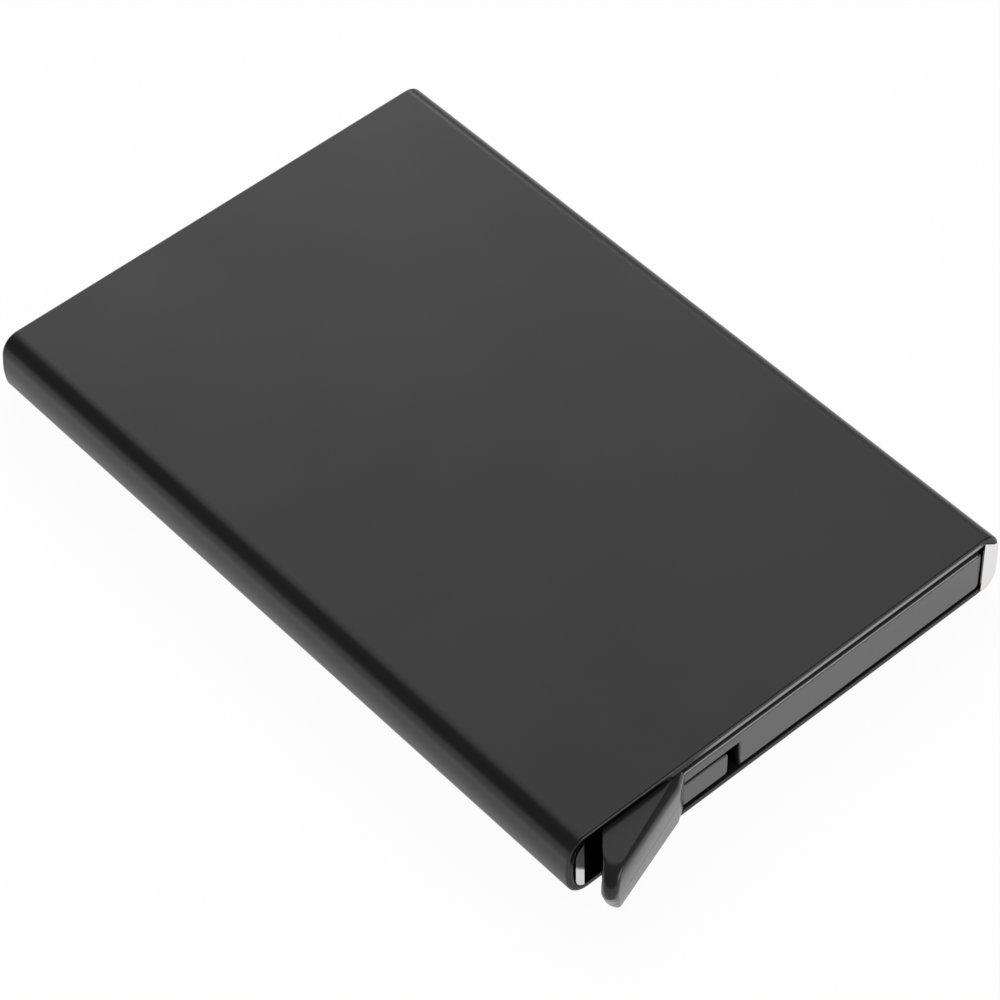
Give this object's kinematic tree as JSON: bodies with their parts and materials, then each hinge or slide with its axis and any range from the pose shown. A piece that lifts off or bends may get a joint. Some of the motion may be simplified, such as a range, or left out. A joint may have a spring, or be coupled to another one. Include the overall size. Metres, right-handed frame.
{
  "type": "pop-up card holder",
  "caption": "Slim aluminium card holder: a flat sleeve open at its mouth, and a thumb lever that swings a stepped arm to push the cards out.",
  "frame": {"origin": "centre of the sleeve's back face, which it rests on", "axes": "+X across the sleeve, +Y along it from the lever end to the card mouth, +Z out of the front face"},
  "size_m": [0.065, 0.1048, 0.0093],
  "materials": {
    "anodised_black": "satin black anodised",
    "moulded_black": "fine matt moulded",
    "lever_black": "fine satin moulded",
    "spring_steel": "bright rolled strip",
    "pin_steel": "ground",
    "lining_felt": "short-napped felt"
  },
  "bodies": {
    "case": {"sleeve": "anodised_black", "chassis": "moulded_black", "thumb_lever_pin": "pin_steel", "ejector_arm_rivet": "pin_steel", "left_brake_spring": "spring_steel", "right_brake_spring": "spring_steel", "front_lining": "lining_felt", "back_lining": "lining_felt"},
    "lever": {"thumb_lever": "lever_black"},
    "ejector": {"ejector_arm": "lever_black"}
  },
  "joints": [
    {"name": "lever_press", "type": "hinge", "parent": "case", "child": "lever", "pos_m": [-0.0106, -0.0476, 0.0032], "axis": [0, 0, -1], "range_deg": [0, 7]},
    {"name": "ejector_swing", "type": "hinge", "parent": "case", "child": "ejector", "pos_m": [-0.0255, -0.0405, 0.0041], "axis": [0, 0, 1], "range_deg": [0, 28]}
  ],
  "couplings": [
    {"joint": "ejector_swing", "follows": "lever_press", "ratio": 4}
  ]
}
